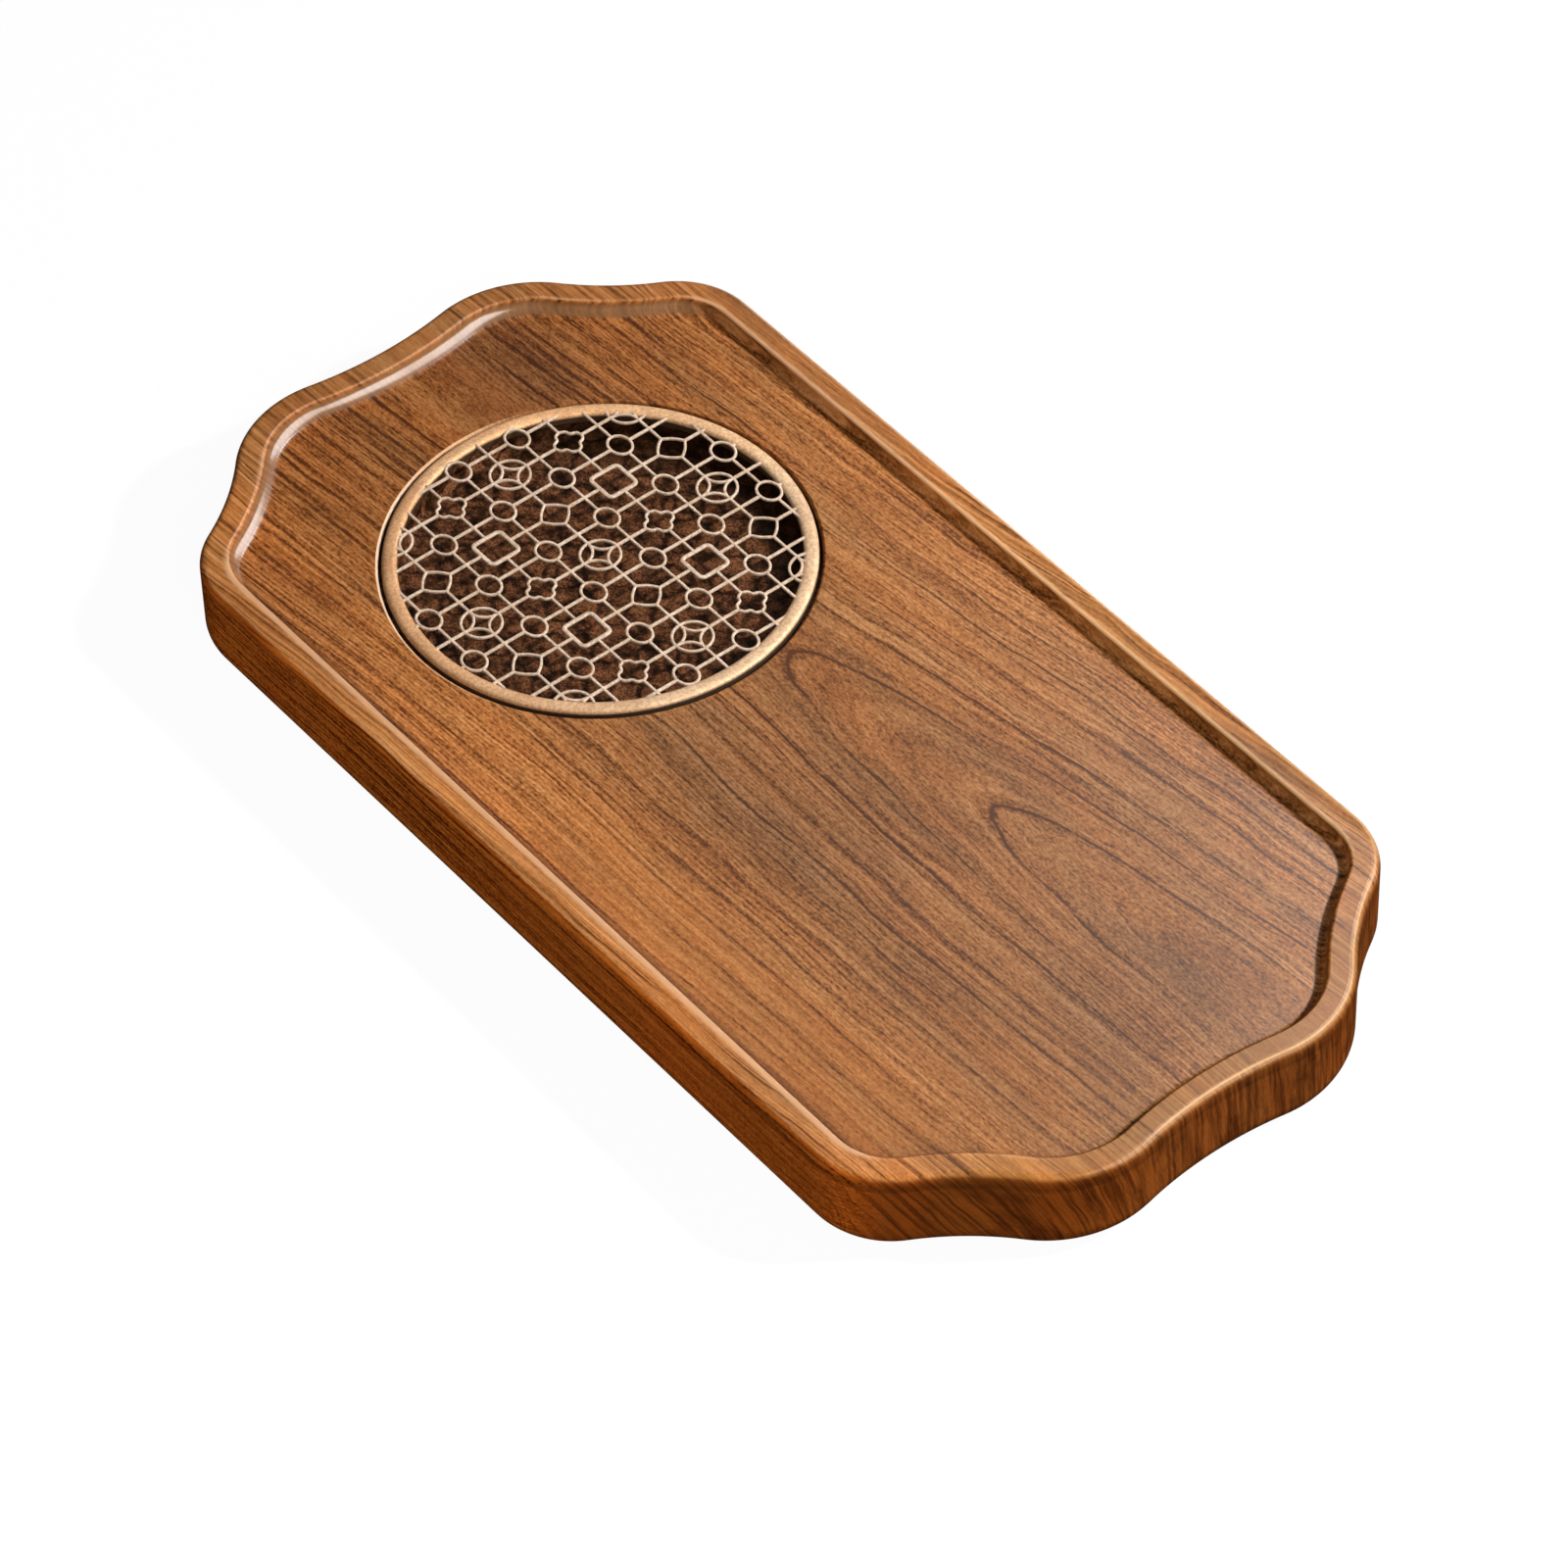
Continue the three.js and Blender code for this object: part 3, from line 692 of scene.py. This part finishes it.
    # fibre, pores and grit
    fibre = g.sub(g.noise(g.scaled(mm, (0.26, 1.35, 1.35)), 1, 2.0, 0.6), 0.5)
    pores = g.step(g.noise(g.scaled(mm, (0.42, 2.4, 2.4)), 1, 1.0, 0.5), 0.58, 0.74)
    grit = g.sub(g.noise(g.scaled(mm, (0.75, 1.5, 1.5)), 1, 1.0, 0.5), 0.5)
    # smoky patches drawn out along the grain, and paler wood towards both long edges
    smoke = g.step(g.noise(g.vector(g.mul(x, 0.013), g.mul(v, 0.060), g.mul(z, 0.03)), 1, 3.0, 0.55), 0.48, 0.68)
    warm = g.noise(g.vector(g.mul(x, 0.014), g.mul(yw, 0.075), 5.0), 1, 3.0, 0.55)
    pale = g.sub(g.math("ABSOLUTE", g.sub(yw, g.ramp(x, -20.0, 140.0, 7.0, 12.0))), g.ramp(x, -20.0, 140.0, 66.0, 61.0))
    pale = g.step(pale, -11.0, 11.0)
    # a darker heart beside the middle of the figure
    hx, hy = g.mul(g.sub(x, 20.0), 1 / 70.0), g.mul(g.add(yw, 20.0), 1 / 34.0)
    heart = g.step(g.add(g.mul(hx, hx), g.mul(hy, hy)), 1.1, 0.1)

    # the rim is worn smoother than the floor
    rim = g.step(z, 29.5, 31.5)
    rough = g.sub(1.0, g.mul(rim, 0.6))
    tone = g.add(g.mul(g.mul(grain, calm), 0.15), 0.58)
    tone = g.add(tone, g.mul(g.mul(hair, calm), 1.42))
    tone = g.add(tone, g.mul(streak, 0.40))
    tone = g.add(tone, g.mul(g.mul(fibre, rough), 0.95))
    tone = g.add(tone, g.mul(g.mul(grit, rough), g.ramp(x, -150.0, 0.0, 0.9, 1.4)))
    tone = g.sub(tone, g.mul(pores, 0.14))
    tone = g.sub(tone, g.mul(smoke, 0.09))
    # the lines are boldest, with a smoky halo, where the figure turns
    tip = g.step(off, 14.0, 3.0)
    halo = g.mul(g.step(g.math("ABSOLUTE", g.add(away, 0.3)), 3.0, 0.3), g.mul(tip, g.step(v, 11.0, 15.0)))
    tone = g.sub(tone, g.mul(g.mul(line, g.math("MAXIMUM", fade, tip)), g.step(off, 22.0, 45.0, 0.72, 0.40)))
    tone = g.sub(tone, g.mul(halo, 0.34))
    tone = g.sub(tone, g.mul(line2, 0.24))
    tone = g.add(tone, g.mul(glint, 0.20))
    # more contrast towards the ends
    low = g.step(z, 30.5, 29.0)
    gain = g.add(g.mul(g.ramp(x, -30.0, -180.0, 0.0, 0.5), low), 1.0)
    gain = g.sub(gain, g.mul(g.step(x, 168.0, 184.0, 0.0, 0.38), g.sub(1.0, low)))
    gain = g.sub(gain, g.mul(g.mul(g.step(y, -55.0, -70.0, 0.0, 0.36), g.step(x, -30.0, 15.0)), low))
    calmer = g.mul(g.step(y, -5.0, -20.0, 0.0, 0.20), g.step(y, -62.0, -48.0))
    gain = g.sub(gain, g.mul(g.mul(calmer, g.step(x, 105.0, 140.0)), low))
    tone = g.add(g.mul(g.sub(tone, 0.56), gain), 0.56)
    flank, painted_light = g.attribute("flank"), g.attribute("painted_light")
    hollow = g.math("MAXIMUM", g.mul(flank, -1.0), 0.0)
    flank = g.math("MAXIMUM", flank, 0.0)
    long_side = g.step(g.math("ABSOLUTE", y), 90.0, 100.6)
    end_face = g.mul(flank, g.sub(1.0, long_side))
    bands = g.sub(g.noise(g.vector(g.mul(x, 0.007), g.add(g.mul(z, 0.55), g.mul(slow, 1.5)), 8.0), 1, 3.0, 0.6), 0.5)
    tone = g.add(tone, g.mul(g.mul(flank, long_side), g.add(g.mul(bands, 2.1), g.mul(g.sub(tone, 0.54), 0.3))))
    tone = g.add(tone, g.mul(g.mul(end_face, 0.75), g.sub(0.46, tone)))
    colour = g.mix(g.ramp(tone, 0.0, 0.5), rgb(0.105, 0.030, 0.005), rgb(0.385, 0.142, 0.037))
    colour = g.mix(g.ramp(tone, 0.5, 1.1), colour, rgb(0.650, 0.298, 0.110))
    colour = g.mix(g.mul(smoke, 0.18), colour, rgb(0.120, 0.054, 0.028))
    colour = g.mix(1.0, colour, g.mix(g.step(warm, 0.34, 0.66), rgb(0.95, 0.99, 1.03), rgb(1.05, 0.975, 0.88)), "MULTIPLY")
    colour = g.mix(1.0, colour, g.mix(pale, rgb(0.92, 0.92, 0.90), g.mix(g.step(y, -20.0, 20.0), rgb(1.16, 1.12, 1.02), rgb(1.07, 1.06, 1.0))), "MULTIPLY")
    colour = g.mix(g.mul(heart, g.step(z, 27.0, 28.0)), colour, rgb(0.74, 0.77, 0.86), "MULTIPLY")
    # smoky patches behind the grille and near the far end
    hx, hy = g.mul(g.add(x, 168.0), 1 / 34.0), g.mul(g.sub(yw, 27.0), 1 / 25.0)
    patch = g.step(g.add(g.mul(hx, hx), g.mul(hy, hy)), 1.1, 0.1)
    colour = g.mix(g.mul(patch, low), colour, rgb(0.70, 0.70, 0.80), "MULTIPLY")
    hx, hy = g.mul(g.sub(x, 154.0), 1 / 36.0), g.mul(g.sub(yw, 8.0), 1 / 34.0)
    patch = g.step(g.add(g.mul(hx, hx), g.mul(hy, hy)), 1.1, 0.1)
    colour = g.mix(g.mul(patch, low), colour, rgb(0.84, 0.86, 0.92), "MULTIPLY")
    # the floor darkens away from the grille
    colour = g.mix(g.mul(low, g.step(z, 27.0, 28.0)), colour, g.mix(g.ramp(x, 0.0, 105.0), rgb(0.97, 0.96, 0.96), rgb(0.74, 0.74, 0.74)), "MULTIPLY")
    colour = g.mix(g.mul(g.ramp(x, -40.0, -180.0), g.mul(low, g.sub(1.0, flank))), colour, rgb(0.82, 0.72, 0.58), "MULTIPLY")
    # the outer sides are darker and redder, the end grain most of all: the end grain by its own colour, the long sides
    # partly by their own colour and partly by painted shade and a painted warm bounce light
    colour = g.mix(flank, colour, g.mix(long_side, g.mix(g.ramp(y, -45.0, -5.0), rgb(0.57, 0.40, 0.21), rgb(0.52, 0.395, 0.28)), rgb(1.02, 0.60, 0.20)), "MULTIPLY")
    # end grain in streaks that lean on the near part, and darker blotches
    lean = g.mul(g.sub(Z_TOP, z), g.ramp(y, -65.0, -12.0, 0.55, 0.08))
    upright = g.noise(g.vector(0.0, g.mul(g.add(g.sub(y, lean), g.mul(fine, 1.6)), 0.68), g.mul(z, 0.03)), 1, 3.0, 0.65)
    upright = g.mix(g.step(upright, 0.36, 0.64), rgb(0.52, 0.46, 0.47), rgb(1.32, 1.26, 1.20))
    colour = g.mix(end_face, colour, upright, "MULTIPLY")
    blotch = g.noise(g.vector(2.0, g.mul(g.sub(y, lean), 0.075), g.mul(z, 0.07)), 1, 3.0, 0.6)
    colour = g.mix(g.mul(end_face, g.step(blotch, 0.50, 0.66)), colour, rgb(0.64, 0.62, 0.66), "MULTIPLY")
    # painted highlights on edges, paler still on one side of the well's mouth, and painted shade in corners, along the
    # far end's inner edge and on the other side of the mouth
    painted_edge_light = g.mix(g.step(y, -60.0, 60.0), rgb(0.72, 0.395, 0.20), rgb(0.78, 0.445, 0.22))
    colour = g.mix(g.step(g.add(painted_light, g.mul(fibre, 0.4)), 0.1, 0.85, 0.0, 0.9), colour, painted_edge_light)
    colour = g.mix(g.step(painted_light, 1.0, 1.6, 0.0, 0.8), colour, rgb(0.90, 0.64, 0.45))
    colour = g.mix(g.step(painted_light, -0.1, -1.5), colour, rgb(0.34, 0.27, 0.18), "MULTIPLY")
    colour = g.mix(g.mul(hollow, 0.75), colour, rgb(0.210, 0.105, 0.045))
    # the far end's rim is a little darker than its floor
    far_rim = g.mix(g.ramp(y, -60.0, 10.0), rgb(0.97, 1.03, 0.95), rgb(0.80, 0.825, 0.68))
    colour = g.mix(g.step(x, 165.0, 182.0), colour, g.mix(rim, rgb(1.12, 1.12, 1.06), far_rim), "MULTIPLY")
    back_rim = g.mul(g.mul(rim, g.step(y, 70.0, 90.0)), g.step(x, 182.0, 165.0))
    colour = g.mix(back_rim, colour, g.mix(g.ramp(x, 10.0, 110.0), g.mix(g.ramp(x, -80.0, -10.0), rgb(0.96, 0.94, 0.95), rgb(1.14, 1.14, 1.06)), rgb(0.81, 0.83, 0.80)), "MULTIPLY")
    # painted shade: the well below the floor is painted near-black
    rx = g.sub(x, WELL_X)
    well_shade = g.step(g.math("SQRT", g.add(g.mul(rx, rx), g.mul(y, y))), WELL_MOUTH_R + 0.1, WELL_MOUTH_R + 0.5, 1.0, 0.0)
    well_shade = g.mul(well_shade, g.mul(g.step(z, Z_FLOOR - 1.5, Z_FLOOR - 1.0, 1.0, 0.0), g.step(z, Z_POCKET - 1.0, Z_POCKET - 0.5)))
    colour = g.mix(g.mul(well_shade, 0.86), colour, rgb(0.010, 0.005, 0.003))

    height = g.sub(g.add(g.mul(fibre, 0.8), g.mul(streak, 0.4)), g.mul(pores, 0.6))
    g.set(Base_Color=colour, Roughness=g.step(fibre, -0.3, 0.3, 0.40, 0.50), Normal=g.bump(height, 0.30, 0.00012))
    # the polish is thickest in the hollow at the grille's end, and thin on the rim and on the floor beside it
    polish = g.math("MINIMUM", g.ramp(x, -140.0, 50.0, 0.12, 0.70), g.ramp(x, 80.0, 170.0, 0.70, 0.36))
    polish = g.mul(polish, g.ramp(y, -80.0, -40.0, 0.72, 1.0))
    polish = g.add(polish, g.mul(g.step(z, 28.7, 29.2), g.sub(0.3, polish)))
    polish = g.mul(polish, g.step(g.math("ABSOLUTE", y), 95.0, 97.5, 1.0, 0.4))
    polish = g.mul(polish, g.step(painted_light, -0.2, -1.0, 0.72, 0.22))
    polish = g.add(polish, g.mul(hollow, g.sub(g.step(g.noise(g.scaled(mm, (0.0, 0.045, 0.0)), 1, 1.0, 0.5), 0.35, 0.6, 0.75, 1.0), polish)))
    g.set(Specular_IOR_Level=0.05, Coat_Weight=polish, Coat_Roughness=0.2, Coat_IOR=1.62)
    return g.mat


def metal_material(name, bright, dull, rough, metallic, pale=None):
    g = Graph(name)
    mm = g.scaled(g.place, (1000, 1000, 1000))
    cloud = g.noise(g.scaled(mm, (0.09, 0.09, 0.2)), 1, 3.0, 0.55)
    grit = g.noise(g.scaled(mm, (1.6, 1.6, 1.6)), 1, 3.0, 0.6)
    colour = g.mix(g.step(cloud, 0.32, 0.68), bright, dull)
    colour = g.mix(g.step(grit, 0.42, 0.62, 0.0, 0.55), colour, dull)
    if pale:
        # painted highlight: one side is paler
        x, y, z = g.parts(mm)
        across = g.add(g.mul(g.sub(x, WELL_X), 0.61), g.mul(y, 0.79))
        colour = g.mix(g.step(across, -38.0, 28.0), colour, pale, "MULTIPLY")
        # painted highlight on the far side, painted shade on the near side, which is browner
        rx = g.sub(x, WELL_X)
        colour = g.mix(g.step(g.sub(g.mul(y, 0.77), g.mul(rx, 0.64)), 36.0, 58.0), colour, rgb(1.17, 1.09, 0.97), "MULTIPLY")
        colour = g.mix(g.step(g.add(g.mul(y, 0.87), g.mul(rx, 0.5)), -40.0, -60.0), colour, rgb(0.90, 0.84, 0.76), "MULTIPLY")
        # painted shade: a near-black line along the ring's foot, in the gap against the board
        colour = g.mix(g.step(g.attribute("painted_light"), -0.2, -0.9, 0.0, 0.92), colour, rgb(0.030, 0.015, 0.008))
    speck = g.noise(g.scaled(mm, (1.1, 1.1, 1.1)), 1, 2.0, 0.6)
    colour = g.mix(1.0, colour, g.mix(g.step(speck, 0.36, 0.64), rgb(0.80, 0.78, 0.75), rgb(1.14, 1.15, 1.16)), "MULTIPLY")
    g.set(Base_Color=colour, Metallic=metallic, Roughness=g.step(grit, 0.3, 0.7, rough - 0.05, rough + 0.07), Normal=g.bump(grit, 0.25, 0.00012))
    return g.mat


def resin_material():
    g = Graph("brown_moulded_resin")
    mm = g.scaled(g.place, (1000, 1000, 1000))
    lump = g.noise(g.scaled(mm, (0.22, 0.22, 0.22)), 1, 4.0, 0.62)
    grain = g.noise(g.scaled(mm, (1.3, 1.3, 1.3)), 1, 3.0, 0.6)
    colour = g.mix(g.step(lump, 0.34, 0.66), rgb(0.015, 0.0045, 0.0011), rgb(0.250, 0.094, 0.038))
    colour = g.mix(g.step(grain, 0.42, 0.62, 0.0, 0.75), colour, rgb(0.010, 0.0038, 0.0011))
    # painted shadow of the ring and well wall on the dish, deepest along one side
    x, y, z = g.parts(mm)
    x = g.sub(x, WELL_X)
    reach = g.math("SQRT", g.add(g.mul(x, x), g.mul(y, y)))
    across = g.sub(g.mul(y, 0.97), g.mul(x, 0.26))
    painted_shadow = g.mul(g.step(g.add(reach, g.mul(lump, 12.0)), 53.0, 61.0), g.step(across, 18.0, 46.0))
    colour = g.mix(g.mul(painted_shadow, 0.8), colour, rgb(0.008, 0.003, 0.0009))
    g.set(Base_Color=colour, Roughness=g.step(grain, 0.3, 0.7, 0.5, 0.72), Normal=g.bump(g.add(g.mul(lump, 0.6), g.mul(grain, 0.3)), 0.9, 0.0012))
    g.set(Specular_IOR_Level=0.03)
    return g.mat


def rubber_material():
    g = Graph("soft_pad_rubber")
    mm = g.scaled(g.place, (1000, 1000, 1000))
    grain = g.noise(g.scaled(mm, (2.6, 2.6, 2.6)), 1, 3.0, 0.6)
    dust = g.noise(g.scaled(mm, (0.3, 0.3, 0.3)), 1, 3.0, 0.55)
    colour = g.mix(g.step(dust, 0.35, 0.7), rgb(0.020, 0.018, 0.016), rgb(0.040, 0.036, 0.032))
    g.set(Base_Color=colour, Roughness=g.step(grain, 0.3, 0.7, 0.7, 0.9), Normal=g.bump(grain, 0.3, 0.0002))
    return g.mat


# ------------------------------------------------------------------ pieces
def place(piece, body, nodes, material):
    piece.data.materials.clear()
    piece.data.materials.append(material)
    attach(piece, body)
    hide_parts(*nodes)


place(make_board(), "board", ["tray_board"], wood_material())
place(make_ring(), "grille", ["grille_ring"], metal_material("champagne_bronze", rgb(0.59, 0.345, 0.172), rgb(0.49, 0.262, 0.119), 0.52, 0.35, rgb(1.01, 1.17, 1.42)))
place(make_lattice(), "grille", ["grille_lattice"], metal_material("pale_champagne", rgb(0.63, 0.478, 0.36), rgb(0.51, 0.362, 0.25), 0.52, 0.25))
place(make_dish(), "dish", ["water_dish"], resin_material())
rubber = rubber_material()
for node, (fx, fy) in FEET.items():
    place(make_foot(node, fx, fy), "board", [node], rubber)


# ------------------------------------------------------------------ floor, light and camera
def make_floor():
    bm = bmesh.new()
    n, half = 24, 3.0
    grid = [[bm.verts.new((half * (2 * i / n - 1), half * (2 * j / n - 1), -0.0002)) for i in range(n + 1)] for j in range(n + 1)]
    for j in range(n):
        for i in range(n):
            bm.faces.new((grid[j][i], grid[j][i + 1], grid[j + 1][i + 1], grid[j + 1][i]))
    ob = mesh_object(bm, "floor")
    g = Graph("pale_floor")
    g.set(Base_Color=rgb(0.05, 0.05, 0.05), Roughness=1.0, Emission_Color=rgb(1, 1, 1), Emission_Strength=0.955, Specular_IOR_Level=0.0)
    ob.data.materials.append(g.mat)
    ob.visible_diffuse = ob.visible_glossy = False


def area_light(name, azimuth, elevation, distance, size, power, lights="both"):
    """A softbox that faces the middle of the table, azimuth in degrees from +Y towards +X."""
    data = bpy.data.lights.new(name, "AREA")
    data.shape = "RECTANGLE"
    data.size, data.size_y = size
    data.energy = power
    ob = bpy.data.objects.new(name, data)
    a, e = math.radians(azimuth), math.radians(elevation)
    d = Vector((math.sin(a) * math.cos(e), math.cos(a) * math.cos(e), math.sin(e)))
    ob.location = d * distance
    ob.rotation_mode = "QUATERNION"
    ob.rotation_quaternion = d.to_track_quat("Z", "Y")
    ob.visible_diffuse, ob.visible_glossy = lights != "gloss", lights != "diffuse"
    bpy.context.scene.collection.objects.link(ob)
    return ob


make_floor()
world = bpy.data.worlds.new("studio")
world.use_nodes = True
world.node_tree.nodes["Background"].inputs["Color"].default_value = rgb(1, 1, 1)
world.node_tree.nodes["Background"].inputs["Strength"].default_value = 0.13
world.cycles_visibility.glossy = False
bpy.context.scene.world = world
area_light("key", 44, 43, 1.6, (0.06, 0.06), 27.0, "diffuse")
area_light("fill", 125, 35, 2.0, (1.3, 1.0), 17.5, "diffuse")
area_light("window", 36, 46, 1.7, (2.6, 1.4), 102.0, "gloss")
area_light("back", -38, 30, 1.8, (0.5, 0.5), 2.5, "gloss")
area_light("sky", -32, 52, 3.5, (0.6, 0.6), 40.0, "gloss")

camera = bpy.data.cameras.new("camera")
camera.sensor_fit = "HORIZONTAL"
camera.sensor_width = 36.0
camera.lens = 7495.4455 * 36.0 / 1600.0
camera.clip_start, camera.clip_end = 0.05, 50.0
az, el, roll = math.radians(52.4910), math.radians(46.7182), math.radians(1.71652)
back = Vector((math.sin(az) * math.cos(el), -math.cos(az) * math.cos(el), math.sin(el)))
right = (-back).cross(Vector((0, 0, 1))).normalized()
down = -right.cross(-back)
cam_x = right * math.cos(roll) + down * math.sin(roll)
cam_y = right * math.sin(roll) - down * math.cos(roll)
eye = bpy.data.objects.new("camera", camera)
bpy.context.scene.collection.objects.link(eye)
turn = Matrix((cam_x, cam_y, back)).transposed().to_4x4()
eye.matrix_world = Matrix.Translation((1.190504, -0.912144, 1.590588)) @ turn
bpy.context.scene.camera = eye

bpy.context.scene.view_settings.view_transform = "Standard"
